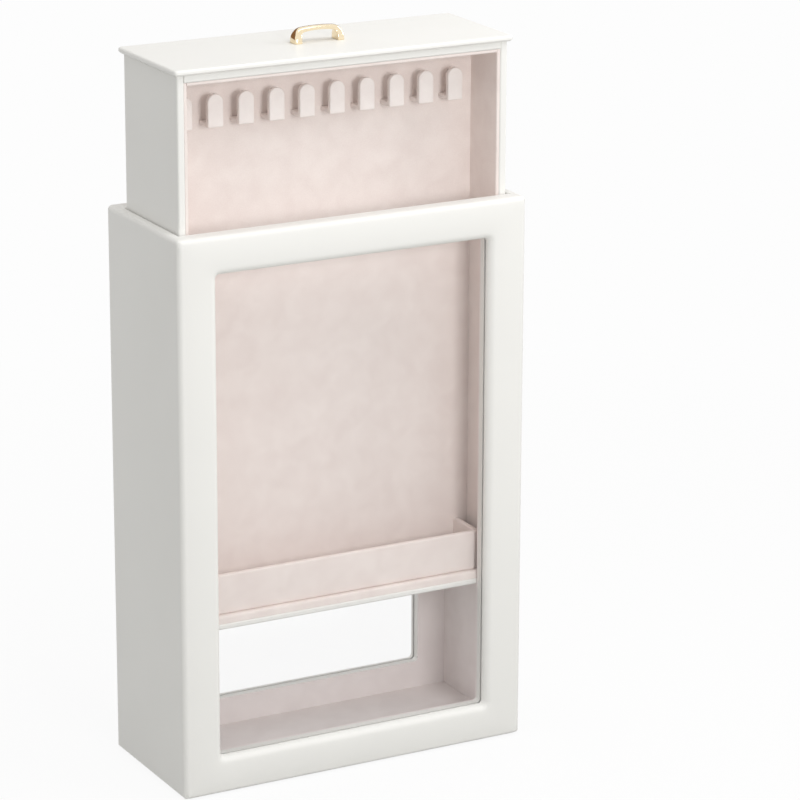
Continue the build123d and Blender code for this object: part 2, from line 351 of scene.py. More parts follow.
@dataclass(frozen=True)
class Leatherette:
    """White polyurethane leatherette, embossed with a fine pebble grain, wrapped over board.

    The film has a soft sheen, and the eye reads the grain only as a slight break in it.
    """

    colour: str = "#edece8"
    # painted shade: a slightly darker colour for the shading of slight waves in the wrapped boards
    wave_shade: str = "#e9e8e4"
    roughness: float = 0.46
    roughness_spread: float = 0.04
    specular: float = 0.33
    grain: float = 0.9 * MM
    grain_depth: float = 0.035 * MM
    grain_strength: float = 0.6
    grain_softness: float = 0.6
    drift: float = 60 * MM

    def material(self) -> Material:
        """Builds the material."""
        material, tree = blank_material(Slot.LEATHERETTE.value)
        place = add_node(tree, "ShaderNodeTexCoord").outputs["Object"]
        pebbles = add_node(
            tree, "ShaderNodeTexVoronoi", {"feature": "SMOOTH_F1"},
            {"Vector": place, "Scale": 1 / self.grain, "Smoothness": self.grain_softness},
        ).outputs["Distance"]
        # painted shade: the colour drifts to a slightly darker shade in soft clouds, standing in
        # for the shading of slight waves in the boards
        clouds = noise(tree, self.drift, Detail=2.0)
        low, high = self.roughness - self.roughness_spread, self.roughness + self.roughness_spread
        surface(tree, {
            "Base Color": blend(tree, clouds, self.colour, self.wave_shade),
            "Roughness": between(tree, clouds, low, high),
            "IOR": 1.5,
            "Specular IOR Level": self.specular,
            "Normal": relief(tree, self.grain_strength, self.grain_depth, pebbles),
        })
        return material


@dataclass(frozen=True)
class Velvet:
    """Blush velvet with a short dense pile, glued over board or foam.

    The pile scatters light at grazing angles, and where it leans the colour drifts in soft
    clouds a finger wide.
    """

    name: str = Slot.VELVET.value
    light: str = "#f0e6e1"
    deep: str = "#e8dcd7"
    sheen: str = "#fff6f2"
    sheen_weight: float = 0.45
    sheen_roughness: float = 0.4
    roughness: float = 0.95
    specular: float = 0.15
    tuft: float = 0.55 * MM
    tuft_depth: float = 0.12 * MM
    tuft_strength: float = 0.5
    tuft_share: float = 0.45
    nap: float = 14 * MM
    nap_range: tuple[float, float] = (0.35, 0.65)

    def material(self) -> Material:
        """Builds the material. The tufts are drawn coarser than real ones, so that they show."""
        material, tree = blank_material(self.name)
        clouds = noise(tree, self.nap, Detail=3.0, Distortion=0.4)
        tufts = noise(tree, self.tuft, Detail=2.0, Roughness=0.6)
        lean = add_node(
            tree, "ShaderNodeMix", {"data_type": "FLOAT"}, {0: self.tuft_share, 2: clouds, 3: tufts}
        )
        low, high = self.nap_range
        spread = add_node(tree, "ShaderNodeMapRange", {}, {0: lean.outputs[0], 1: low, 2: high})
        surface(tree, {
            "Base Color": blend(tree, spread.outputs[0], self.deep, self.light),
            "Roughness": self.roughness,
            "Specular IOR Level": self.specular,
            "Sheen Weight": self.sheen_weight,
            "Sheen Roughness": self.sheen_roughness,
            "Sheen Tint": linear(self.sheen),
            "Normal": relief(tree, self.tuft_strength, self.tuft_depth, tufts),
        })
        return material


@dataclass(frozen=True)
class HookFlock(Velvet):
    """Short nylon flock on the moulded hooks.

    It is finer than the woven velvet behind it, and a little paler: partly its own colour, and
    partly painted light for the light that the hooks catch as they stand out from the panel.
    """

    name: str = "hook_flock"
    # paler than the panel's velvet: partly painted light on the hooks
    light: str = "#f3ece8"
    deep: str = "#ede4e0"
    tuft: float = 0.35 * MM
    tuft_depth: float = 0.05 * MM
    nap: float = 9 * MM


@dataclass(frozen=True)
class LitLiningVelvet(Velvet):
    """Velvet that lines the case: a copy of the drawer's velvet, painted a little lighter and
    cooler in colour, as painted light for the inside of the case, which the lamps reach less.
    """

    name: str = "lining_velvet"
    # painted light: lighter than the drawer's velvet, to stand in for light inside the deep case
    light: str = "#f1eae8"
    deep: str = "#e9e1df"


@dataclass(frozen=True)
class PolishedGold:
    """Zinc casting, polished and plated in pale gold, so it mirrors the studio around it."""

    name: str = Slot.GOLD.value
    colour: str = "#f8e7c6"
    roughness: tuple[float, float] = (0.07, 0.15)
    grain: float = 3 * MM
    detail: float = 2.0

    def material(self) -> Material:
        """Builds the material."""
        return metal(self)


@dataclass(frozen=True)
class ClearPane:
    """Clear pane, polished on both faces: it shows itself only by faint reflections.

    It is thin enough to take no light away, and its index is set lower than that of glass, so
    that its reflections stay faint.
    """

    tint: str = "#ffffff"
    ior: float = 1.3
    roughness: float = 0.02

    def material(self) -> Material:
        """Builds the material, which lets light straight through between its reflections.

        Light isn't bent in it, so the back of each face mirrors as much as its front does.
        """
        material, tree = blank_material(Slot.PANE.value)
        behind = add_node(tree, "ShaderNodeNewGeometry").outputs["Backfacing"]
        ior = between(tree, behind, self.ior, 1 / self.ior)
        fresnel = add_node(tree, "ShaderNodeFresnel", {}, {"IOR": ior})
        clear = add_node(tree, "ShaderNodeBsdfTransparent", {}, {"Color": linear(self.tint)})
        gloss = add_node(tree, "ShaderNodeBsdfGlossy", {}, {"Roughness": self.roughness})
        mixed = add_node(
            tree, "ShaderNodeMixShader", {},
            {0: fresnel.outputs[0], 1: clear.outputs[0], 2: gloss.outputs[0]},
        )
        add_node(tree, "ShaderNodeOutputMaterial", {}, {"Surface": mixed.outputs[0]})
        return material


@dataclass(frozen=True)
class ScrewSteel:
    """Zinc-plated steel of the two machine screws, bright and slightly scratched."""

    name: str = Slot.STEEL.value
    colour: str = "#c9c9c6"
    roughness: tuple[float, float] = (0.25, 0.45)
    grain: float = 0.4 * MM
    detail: float = 3.0

    def material(self) -> Material:
        """Builds the material."""
        return metal(self)


@dataclass(frozen=True)
class NeedleFelt:
    """Thin needled felt under the base, matt, with loose fibres in all directions."""

    light: str = "#c9c4be"
    dark: str = "#aaa59f"
    fibre: float = 0.5 * MM
    fibre_depth: float = 0.1 * MM
    fibre_strength: float = 0.6
    roughness: float = 0.95

    def material(self) -> Material:
        """Builds the material."""
        material, tree = blank_material(Slot.FELT.value)
        fibres = noise(tree, self.fibre, Detail=4.0, Distortion=1.2)
        surface(tree, {
            "Base Color": blend(tree, fibres, self.dark, self.light),
            "Roughness": self.roughness,
            "Normal": relief(tree, self.fibre_strength, self.fibre_depth, fibres),
        })
        return material


@dataclass
class Finishes:
    """Every finish of the object, built once."""

    materials: dict[Slot, Material] = field(default_factory=dict)

    def __post_init__(self) -> None:
        """Builds the materials."""
        self.flock = HookFlock().material()
        # the case's lining takes a lighter copy of the velvet: painted light for the inside of the
        # case
        self.lining = LitLiningVelvet().material()
        self.materials = {
            Slot.LEATHERETTE: Leatherette().material(),
            Slot.VELVET: Velvet().material(),
            Slot.GOLD: PolishedGold().material(),
            Slot.PANE: ClearPane().material(),
            Slot.STEEL: ScrewSteel().material(),
            Slot.FELT: NeedleFelt().material(),
        }

    def dress_nodes(self, frame: dict[str, Any]) -> None:
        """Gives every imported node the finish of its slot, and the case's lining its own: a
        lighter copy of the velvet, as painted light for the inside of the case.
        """
        for part in frame["record"]["subparts"]:
            slot = Slot(part["material_slot"])
            lines_case = part["node"] in CASE_LININGS
            finish = self.lining if lines_case else self.materials[slot]
            dress(frame["nodes"][part["node"]], finish)
            log.info("node %s: %s", part["node"], slot.value)


# Geometry trees

class GeometryTree:
    """A Geometry Nodes tree with named inputs, run once on a piece."""

    weld = 0.01 * MM

    def __init__(self, name: str) -> None:
        """Makes an empty tree with a geometry output."""
        self.tree = bpy.data.node_groups.new(name, "GeometryNodeTree")
        self.tree.interface.new_socket(
            "Geometry", in_out="OUTPUT", socket_type="NodeSocketGeometry"
        )
        self.given: dict[str, Any] = {}
        self.entry: Node | None = None

    def declare(self, inputs: dict[str, tuple[str, Any]]) -> None:
        """Adds the named inputs.

        Args:
            inputs: For each input's name, its kind of socket and its value on this piece.
        """
        for name, (kind, value) in inputs.items():
            socket = self.tree.interface.new_socket(name, in_out="INPUT", socket_type=kind)
            self.given[socket.identifier] = value
        self.entry = self.tree.nodes.new("NodeGroupInput")

    def value(self, name: str) -> NodeSocket:
        """Returns the socket of a named input."""
        return self.entry.outputs[name]

    def add(self, kind: str, *rest: dict[Any, Any]) -> Node:
        """Adds a node of the given kind, settings and inputs, as add_node does."""
        return add_node(self.tree, kind, *rest)

    def finish(self, geometry: NodeSocket) -> None:
        """Ends the tree: real geometry, smooth, with the material of its Material input."""
        real = self.add("GeometryNodeRealizeInstances", {}, {0: geometry})
        welded = self.add(
            "GeometryNodeMergeByDistance", {}, {"Geometry": real.outputs[0], "Distance": self.weld}
        )
        round_faces = self.add("GeometryNodeSetShadeSmooth", {}, {0: welded.outputs[0]})
        dressed = self.add(
            "GeometryNodeSetMaterial", {},
            {0: round_faces.outputs[0], "Material": self.value("Material")},
        )
        self.add("NodeGroupOutput", {}, {0: dressed.outputs[0]})

    def run(self, piece: Object) -> None:
        """Runs the tree on a piece and leaves the result as its plain mesh."""
        modifier = piece.modifiers.new(self.tree.name, "NODES")
        modifier.node_group = self.tree
        for identifier, value in self.given.items():
            modifier[identifier] = value
        settle(piece)


# Pieces of the case

@dataclass
class WindowFrame:
    """Mitred window frame of shaped board in leatherette, standing highest along each rail.

    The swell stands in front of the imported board's flat face. At the window, along the mitres
    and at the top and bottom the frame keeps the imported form, so it meets its neighbours.
    """

    side: Side
    material: Material
    half_window: float = 92.0 * MM
    window_foot: float = 24.0 * MM
    window_head: float = 328.0 * MM
    window_corner: float = 2.5 * MM
    window_edge: float = 4.0 * MM
    outer_radius: float = 3.0 * MM
    foot_chamfer: float = 1.2 * MM
    board: float = 5.0 * MM
    rim_height: float = 8.0 * MM
    rim_radius: float = 2.0 * MM
    crown: float = 0.9 * MM
    merge: float = 4.0
    run_steps: int = 14
    stile_steps: int = 40
    corner_steps: int = 14
    edge_steps: int = 7
    face_steps: int = 12
    weld: float = 0.001 * MM

    def __post_init__(self) -> None:
        """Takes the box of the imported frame, and the places where its outer edge turns."""
        self.low, self.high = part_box(f"case_{Side.FRONT.value}_frame")
        self.lean = self.outer_radius * math.sqrt(0.5)
        self.mitre = self.high.x - self.board + self.outer_radius - self.lean

    def build(self) -> Object:
        """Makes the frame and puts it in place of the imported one."""
        half = self.stations()
        ring = half + [((-a, b), (-c, d)) for (a, b), (c, d) in reversed(half[1:-1])]
        shares = self.shares()
        back = self.low.y + self.board
        mesh = bmesh.new()
        slices = []
        for inner, outer in ring:
            points = [
                (inner[0] + (outer[0] - inner[0]) * f, inner[1] + (outer[1] - inner[1]) * f)
                for f in shares
            ]
            hidden = max(-self.mitre, min(self.mitre, outer[0]))
            vertices = [mesh.verts.new((x, self.front(x, z), z)) for x, z in points]
            vertices.append(mesh.verts.new((hidden, back, outer[1])))
            vertices.append(mesh.verts.new((inner[0], back, inner[1])))
            slices.append(vertices)
        for here, following in zip(slices, slices[1:] + slices[:1]):
            bridge(mesh, here, following)
        self.rim(mesh)
        bmesh.ops.remove_doubles(mesh, verts=mesh.verts[:], dist=self.weld)
        bmesh.ops.recalc_face_normals(mesh, faces=mesh.faces[:])
        soften(mesh)
        frame = mesh_piece(f"{self.side.value}_frame_leatherette", mesh)
        self.side.placed(frame.data)
        dress(frame, self.material)
        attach(frame, CASE)
        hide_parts(f"case_{self.side.value}_frame")
        return frame

    def stations(self) -> list[tuple[Point, Point]]:
        """Pairs of points on the window's edge and on the outer edge, up the right half.

        Returns:
            The pairs as X and Z, from the middle of the foot to the middle of the top.
        """
        edge_x, foot, head = self.high.x, self.low.z, self.high.z
        corner_x = self.half_window - self.window_corner
        low_z, high_z = self.window_foot + self.window_corner, self.window_head - self.window_corner
        centre = (edge_x - self.lean, head - self.outer_radius)
        quarter = self.corner_steps // 2
        pairs = [((x, self.window_foot), (x, foot)) for x in spaced(0.0, corner_x, self.run_steps)]
        outer = [(x, foot) for x in spaced(corner_x, edge_x, quarter)]
        outer += [(edge_x, z) for z in spaced(foot, low_z, quarter)]
        pairs += self.fan((corner_x, low_z), -math.pi / 2, outer)
        stile = spaced(low_z, high_z, self.stile_steps)
        pairs += [((self.half_window, z), (edge_x, z)) for z in stile]
        outer = [(edge_x, z) for z in spaced(high_z, centre[1] + self.lean, quarter - 1)]
        turns = (math.pi / 4, math.pi * 3 / 8)
        outer += [around(centre, self.outer_radius, turn) for turn in turns]
        outer += [(x, head) for x in spaced(centre[0], corner_x, quarter - 1)]
        pairs += self.fan((corner_x, high_z), 0.0, outer)
        back = spaced(corner_x, 0.0, self.run_steps) + [0.0]
        pairs += [((x, self.window_head), (x, head)) for x in back]
        return pairs

    def fan(
        self, centre: Point, start: float, outer: list[Point]
    ) -> list[tuple[Point, Point]]:
        """Pairs a corner of the window with points round the corner of the frame.

        Args:
            centre: Centre of the window's corner.
            start: Angle at which the corner starts.
            outer: Points on the outer edge, in order.

        Returns:
            The pairs.
        """
        angles = spaced(start, start + math.pi / 2, len(outer))
        return [(around(centre, self.window_corner, a), point) for a, point in zip(angles, outer)]

    def shares(self) -> list[float]:
        """Places the points across a rail, closer together where its edges round off.

        Returns:
            The places, from 0 at the window to 1 at the outer edge.
        """
        rail = self.high.x - self.half_window
        turns = spaced(0.0, math.pi / 2, self.edge_steps)
        inner = [self.window_edge / rail * (1 - math.cos(t)) for t in turns]
        outer = [1 - self.outer_radius / rail * (1 - math.cos(t)) for t in reversed(turns)]
        start, end = self.window_edge / rail, 1 - self.outer_radius / rail
        return inner + spaced(start, end, self.face_steps) + [end] + outer

    def front(self, x: float, z: float) -> float:
        """Depth of the leatherette at a point of the frame.

        Args:
            x: Place across.
            z: Height.

        Returns:
            Its Y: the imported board's face with its round edges, less the swell.
        """
        apart = (
            max(0.0, abs(x) - self.half_window + self.window_corner),
            max(0.0, abs(z - (self.window_foot + self.window_head) / 2)
                - (self.window_head - self.window_foot) / 2 + self.window_corner),
        )
        window = max(0.0, math.hypot(*apart) - self.window_corner)
        near = max(0.0, self.window_edge - window)
        fall = self.window_edge - math.sqrt(max(0.0, self.window_edge**2 - near**2))
        across = max(0.0, abs(x) - (self.high.x - self.lean))
        above = max(0.0, z - (self.high.z - self.outer_radius))
        left = max(0.0, self.outer_radius**2 - across**2 - above**2)
        fall += self.outer_radius - math.sqrt(left)
        fall += max(0.0, self.foot_chamfer - (z - self.low.z))
        rims = (self.high.x - abs(x), self.high.z - z, z - self.low.z)
        rim = 0.0
        if min(rims) > 0.0:
            rim = sum(r ** -self.merge for r in rims) ** (-1 / self.merge)
        swell = 4 * self.crown * window * rim / (window + rim) ** 2
        return self.low.y + fall - swell

    def rim(self, mesh: BMesh) -> None:
        """Adds the part of the top rail that reaches back over the frame behind."""
        back, top = self.low.y + self.board, self.high.z
        end, radius = self.high.y, self.rim_radius
        outline = [(back, top - self.rim_height), (end, top - self.rim_height)]
        for angle in spaced(0.0, math.pi / 2, self.edge_steps) + [math.pi / 2]:
            outline.append(around((end - radius, top - radius), radius, angle))
        outline.append((back, top))
        sides = (-self.mitre, self.mitre)
        ends = [[mesh.verts.new((x, y, z)) for y, z in outline] for x in sides]
        bridge(mesh, *ends)
        for points in ends:
            mesh.faces.new(points)


# Pieces of the drawer

@dataclass
class HookRow:
    """Ten flocked hooks along the top of one side of the centre panel.

    Each is moulded in one piece: an arm that stands out from the panel and an upright paddle
    with a half-round top. A thin coat of flock rounds all its edges.
    """

    side: Side
    material: Material
    paddle: float = 3.5 * MM
    arm: float = 2.6 * MM
    edge: float = 0.8 * MM
    corner: float = 1.5 * MM
    sharp: float = 40.0
    arc_steps: int = 16
    edge_steps: int = 4

    def build(self, frame: dict[str, Any]) -> Object:
        """Makes the row and puts it in place of its packed hooks.


        Returns:
            The row, as one piece.
        """
        nodes = sorted(n for n in frame["nodes"] if n.startswith(f"{self.side.value}_hook_"))
        first, second = (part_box(f"front_hook_{number:02d}") for number in (1, 2))
        pattern = self.pattern(*first)
        row = new_piece(f"{self.side.value}_hooks", bpy.data.meshes.new("row"))
        tree = GeometryTree("hook_row")
        tree.declare({
            "Hook": ("NodeSocketObject", pattern),
            "Count": ("NodeSocketInt", len(nodes)),
            "Pitch": (FLOAT, (second[0] - first[0]).x),
            "Material": ("NodeSocketMaterial", self.material),
        })
        step = tree.add("ShaderNodeCombineXYZ", {}, {"X": tree.value("Pitch")})
        places = tree.add(
            "GeometryNodeMeshLine", {"mode": "OFFSET"},
            {"Count": tree.value("Count"), "Offset": step.outputs[0]},
        )
        hook = tree.add("GeometryNodeObjectInfo", {}, {"Object": tree.value("Hook")})
        hooks = tree.add(
            "GeometryNodeInstanceOnPoints", {},
            {"Points": places.outputs[0], "Instance": hook.outputs["Geometry"]},
        )
        tree.finish(hooks.outputs[0])
        tree.run(row)
        bpy.data.objects.remove(pattern)
        self.side.placed(row.data)
        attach(row, DRAWER)
        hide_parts(*nodes)
        return row

    def pattern(self, low: Vector, high: Vector) -> Object:
        """Makes the first hook of the front row.

        Args:
            low: Lowest corner of its packed hook.
            high: Highest corner, at the end of the tenon inside the panel.

        Returns:
            One hook, its edges rounded.
        """
        middle = (low.x + high.x) / 2
        radius = (high.x - low.x) / 2
        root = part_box("centre_panel")[0].y
        arc = spaced(0.0, math.pi, self.arc_steps) + [math.pi]
        shoulder = high.z - radius
        top = [around((middle, shoulder), radius, a) for a in arc]
        outline = [(high.x, low.z), (high.x, low.z + self.arm), *top]
        outline += [(low.x, low.z + self.arm), (low.x, low.z)]
        mesh = bmesh.new()
        front = [mesh.verts.new((x, low.y, z)) for x, z in outline]
        back = [mesh.verts.new((x, low.y + self.paddle, z)) for x, z in outline]
        mesh.faces.new(front)
        mesh.faces.new(back[1:-1])
        bridge(mesh, front, back)
        roots = [back[0], back[1], back[-2], back[-1]]
        ends = [mesh.verts.new((v.co.x, root, v.co.z)) for v in roots]
        bridge(mesh, roots, ends)
        mesh.faces.new(ends)
        bmesh.ops.recalc_face_normals(mesh, faces=mesh.faces[:])
        inner = [e for e in mesh.edges if set(e.verts) == {back[1], back[-2]}]
        bmesh.ops.bevel(
            mesh, geom=inner, offset=self.corner, segments=self.edge_steps, profile=0.5,
            affect="EDGES",
        )
        hook = mesh_piece("hook_pattern", mesh)
        round_off(hook, self.edge, self.edge_steps, self.sharp)
        settle(hook)
        return hook


@dataclass
class TrayWall:
    """Low wall round a tray: a strip of card wrapped in velvet, bent round two corners."""

    side: Side
    material: Material
    thickness: float = 3.7 * MM
    corner: float = 5.0 * MM
    corner_steps: int = 8
    edge: float = 1.3 * MM
    edge_steps: int = 5

    def build(self) -> Object:
        """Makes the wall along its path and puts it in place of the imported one."""
        low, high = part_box(f"{Side.FRONT.value}_tray_wall")
        half = self.thickness / 2
        wall = new_piece(f"{self.side.value}_tray_velvet", bpy.data.meshes.new("wall"))
        tree = GeometryTree("tray_wall")
        tree.declare({
            "Length": (FLOAT, high.x - low.x - self.thickness),
            "Depth": (FLOAT, high.y - low.y - half),
            "Height": (FLOAT, high.z - low.z),
            "Thickness": (FLOAT, self.thickness),
            "Corner": (FLOAT, self.corner - half),
            "Edge": (FLOAT, self.edge),
            "Back": ("NodeSocketVector", (0.0, high.y, (low.z + high.z) / 2)),
            "Material": ("NodeSocketMaterial", self.material),
        })
        path = self.path(tree)
        section = tree.add(
            "GeometryNodeCurvePrimitiveQuadrilateral", {"mode": "RECTANGLE"},
            {"Width": tree.value("Thickness"), "Height": tree.value("Height")},
        )
        soft_section = tree.add(
            "GeometryNodeFilletCurve", {"mode": "POLY"},
            {"Curve": section.outputs[0], "Count": self.edge_steps,
             "Radius": tree.value("Edge")},
        )
        strip = tree.add(
            "GeometryNodeCurveToMesh", {},
            {"Curve": path, "Profile Curve": soft_section.outputs[0], "Fill Caps": True},
        )
        placed = tree.add(
            "GeometryNodeTransform", {},
            {"Geometry": strip.outputs[0], "Translation": tree.value("Back")},
        )
        tree.finish(placed.outputs[0])
        tree.run(wall)
        self.side.placed(wall.data)
        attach(wall, DRAWER)
        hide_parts(f"{self.side.value}_tray_wall")
        return wall

    def path(self, tree: GeometryTree) -> NodeSocket:
        """Draws the middle line of the wall: back to front, across, and back again.

        Args:
            tree: Tree that takes the nodes.

        Returns:
            The line, with rounded corners.
        """
        half = reckon(tree.tree, "MULTIPLY", tree.value("Length"), 0.5)
        left = reckon(tree.tree, "MULTIPLY", half, -1.0)
        front = reckon(tree.tree, "MULTIPLY", tree.value("Depth"), -1.0)
        corners = [(left, 0.0), (left, front), (half, front), (half, 0.0)]
        base = tree.add("GeometryNodeMeshLine", {"mode": "OFFSET"}, {"Count": len(corners)})
        geometry = base.outputs[0]
        for number, (x, y) in enumerate(corners):
            place = tree.add("ShaderNodeCombineXYZ", {}, {"X": x, "Y": y}).outputs[0]
            index = tree.add("GeometryNodeInputIndex").outputs[0]
            chosen = tree.add(
                "FunctionNodeCompare", {"data_type": "INT", "operation": "EQUAL"},
                {"A": index, "B": number},
            )
            moved = tree.add(
                "GeometryNodeSetPosition", {},
                {"Geometry": geometry, "Selection": chosen.outputs[0], "Position": place},
            )
            geometry = moved.outputs[0]
        line = tree.add("GeometryNodeMeshToCurve", {}, {0: geometry})
        upright = tree.add("GeometryNodeSetCurveNormal", {"mode": "Z_UP"}, {0: line.outputs[0]})
        bent = tree.add(
            "GeometryNodeFilletCurve", {"mode": "POLY"},
            {"Curve": upright.outputs[0], "Count": self.corner_steps,
             "Radius": tree.value("Corner")},
        )
        return bent.outputs[0]


@dataclass
class FloorPad:
    """Thin foam pad under one tray, covered in velvet, pressed down where the tray stands."""

    side: Side
    material: Material
    step: float = 1.6 * MM
    edge: float = 1.9 * MM
    edge_steps: int = 5
    swell: float = 0.35 * MM
    swell_reach: float = 2.4 * MM
    wall: float = 3.7 * MM

    def build(self) -> Object:
        """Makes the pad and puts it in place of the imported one."""
        low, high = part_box(f"{Side.FRONT.value}_floor_pad")
        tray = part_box(f"{Side.FRONT.value}_tray_wall")
        columns = self.spread(low.x, high.x)
        rows = self.spread(low.y, high.y)
        mesh = bmesh.new()
        top = [
            [mesh.verts.new((x, y, high.z + self.rise(x, y, (low, high), tray))) for x in columns]
            for y in rows
        ]
        floor = [[mesh.verts.new((x, y, low.z)) for x in columns] for y in rows]
        for grid in (top, floor):
            for row, following in zip(grid, grid[1:]):
                bridge(mesh, row, following, closed=False)
        for i in (0, -1):
            bridge(mesh, top[i], floor[i], closed=False)
            bridge(mesh, [row[i] for row in top], [row[i] for row in floor], closed=False)
        bmesh.ops.recalc_face_normals(mesh, faces=mesh.faces[:])
        soften(mesh)
        pad = mesh_piece(f"{self.side.value}_pad_velvet", mesh)
        self.side.placed(pad.data)
        dress(pad, self.material)
        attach(pad, DRAWER)
        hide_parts(f"{self.side.value}_floor_pad")
        return pad

    def spread(self, start: float, end: float) -> list[float]:
        """Spaces points between two edges, closer where the edges round off.

        Args:
            start: First edge.
            end: Last edge.

        Returns:
            The points in order.
        """
        turns = spaced(0.0, math.pi / 2, self.edge_steps)
        soft = [self.edge * (1 - math.cos(a)) for a in turns]
        first, last = start + self.edge, end - self.edge
        count = max(2, round((last - first) / self.step))
        flat = spaced(first, last, count) + [last]
        return [start + s for s in soft] + flat + [end - s for s in reversed(soft)]

    def rise(
        self, x: float, y: float, pad: tuple[Vector, Vector], tray: tuple[Vector, Vector]
    ) -> float:
        """Height of the velvet above the tray's foot at a point of the pad.

        Args:
            x: Place of the point along the pad.
            y: Place of the point across the pad.
            pad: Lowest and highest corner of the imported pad.
            tray: The same of the tray's wall that stands on it.

        Returns:
            A swell that grows with the distance from the wall, less the roundness of the rim.
        """
        (low, high), (left, right) = pad, tray
        short = max(0.0, self.edge - min(x - low.x, high.x - x, y - low.y, high.y - y))
        fall = self.edge - math.sqrt(max(0.0, self.edge**2 - short**2))
        outside = max(left.x - x, x - right.x, left.y - y)
        inside = min(x - left.x, right.x - x, y - left.y) - self.wall
        away = min(1.0, max(outside, inside, 0.0) / self.swell_reach)
        return self.swell * away * away * (3 - 2 * away) - fall


@dataclass
class BowHandle:
    """Small cast bow handle: two legs, round shoulders and a slightly arched strap.

    Its outer side is slightly domed from front to back, and the bow narrows from its feet to the
    shoulders.
    """

    material: Material
    shoulder: float = 8.6 * MM
    leg: float = 5.0 * MM
    strap: float = 2.4 * MM
    outer_radius: float = 7.2 * MM
    inner_radius: float = 3.0 * MM
    waist: float = 0.62
    rim: float = 0.72
    edge: float = 0.4 * MM
    sharp: float = 50.0
    edge_steps: int = 3
    leg_steps: int = 4
    corner_steps: int = 12
    crown_steps: int = 14
    dome_steps: int = 14

    def outline(self, half: float, shoulder: float, crest: float, radius: float) -> list[Vector]:
        """Points along a bow, from its left foot over the top to its right foot.

        The top is a circle's arc through both shoulders and the crest. Each shoulder is an arc
        that touches the upright side and that circle.

        Args:
            half: Half the length of the bow.
            shoulder: Height where the side would meet the top.
            crest: Height of the top in the middle.
            radius: Radius of the shoulder.

        Returns:
            Points with X along the bow and Z up from the lid.
        """
        rise = crest - shoulder
        crown = (half**2 + rise**2) / (2 * rise)
        centre = Vector((0.0, 0.0, crest - crown))
        bend_x = radius - half
        bend_z = centre.z + math.sqrt((crown - radius) ** 2 - bend_x**2)
        bend = Vector((bend_x, 0.0, bend_z))
        meeting = math.atan2(bend.z - centre.z, bend.x - centre.x)
        points = [Vector((-half, 0.0, z)) for z in spaced(0.0, bend_z, self.leg_steps)]
        for angle in spaced(math.pi, meeting, self.corner_steps):
            points.append(bend + radius * Vector((math.cos(angle), 0.0, math.sin(angle))))
        for angle in spaced(meeting, math.pi / 2, self.crown_steps) + [math.pi / 2]:
            points.append(centre + crown * Vector((math.cos(angle), 0.0, math.sin(angle))))
        return points + [Vector((-p.x, 0.0, p.z)) for p in reversed(points[:-1])]

    def section(self, foot: Vector, crown: Vector, y: float, half_depth: float) -> list[Vector]:
        """Points round one slice across the bow: flat inside, slightly domed outside.

        Args:
            foot: Point of the inner outline.
            crown: Point of the outer outline.
            y: Middle of the bow's depth.
            half_depth: Half the slice's depth.

        Returns:
            The points, from the front inner corner over the dome to the rear inner corner.
        """
        thick = crown - foot
        points = [foot + Vector((0.0, y - half_depth, 0.0))]
        for angle in spaced(-math.pi / 2, math.pi / 2, self.dome_steps) + [math.pi / 2]:
            rise = self.rim + (1 - self.rim) * math.cos(angle)
            beside = Vector((0.0, y + half_depth * math.sin(angle), 0.0))
            points.append(foot + thick * rise + beside)
        return points + [foot + Vector((0.0, y + half_depth, 0.0))]

    def build(self) -> Object:
        """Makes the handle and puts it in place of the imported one."""
        low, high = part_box("lid_handle")
        half = (high.x - low.x) / 2
        crest = high.z - low.z
        outer = self.outline(half, self.shoulder, crest, self.outer_radius)
        inner = self.outline(
            half - self.leg, self.shoulder - self.strap, crest - self.strap, self.inner_radius
        )
        base = Vector(((low.x + high.x) / 2, 0.0, low.z))
        middle, half_depth = (low.y + high.y) / 2, (high.y - low.y) / 2
        mesh = bmesh.new()
        rings = []
        for foot, crown in zip(inner, outer):
            climb = min(1.0, crown.z / self.shoulder)
            depth = half_depth * (1 - (1 - self.waist) * climb * climb * (3 - 2 * climb))
            points = self.section(base + foot, base + crown, middle, depth)
            rings.append([mesh.verts.new(p) for p in points])
        for ring, following in zip(rings, rings[1:]):
            bridge(mesh, ring, following)
        mesh.faces.new(rings[0])
        mesh.faces.new(rings[-1])
        bmesh.ops.recalc_face_normals(mesh, faces=mesh.faces[:])
        handle = mesh_piece("gold_bow_handle", mesh)
        round_off(handle, self.edge, self.edge_steps, self.sharp)
        settle(handle)
        smooth(handle.data)
        dress(handle, self.material)
        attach(handle, DRAWER)
        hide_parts("lid_handle")
        return handle


# Studio

@dataclass(frozen=True)
class Lamp:
    """A square soft box that looks at the object."""

    name: str
    azimuth: float
    elevation: float
    distance: float
    size: float
    power: float
    mirrored: bool = True

    def build(self, target: Vector) -> None:
        """Hangs the soft box so that it looks at the target."""
        azimuth, elevation = math.radians(self.azimuth), math.radians(self.elevation)
        away = Vector((
            math.sin(azimuth) * math.cos(elevation),
            -math.cos(azimuth) * math.cos(elevation),
            math.sin(elevation),
        ))
        data = bpy.data.lights.new(self.name, "AREA")
        data.shape = "SQUARE"
        data.size = self.size
        data.energy = self.power
        lamp = bpy.data.objects.new(self.name, data)
        lamp.location = target + away * self.distance
        lamp.rotation_euler = away.to_track_quat("Z", "Y").to_euler()
        lamp.visible_glossy = self.mirrored
        bpy.context.scene.collection.objects.link(lamp)


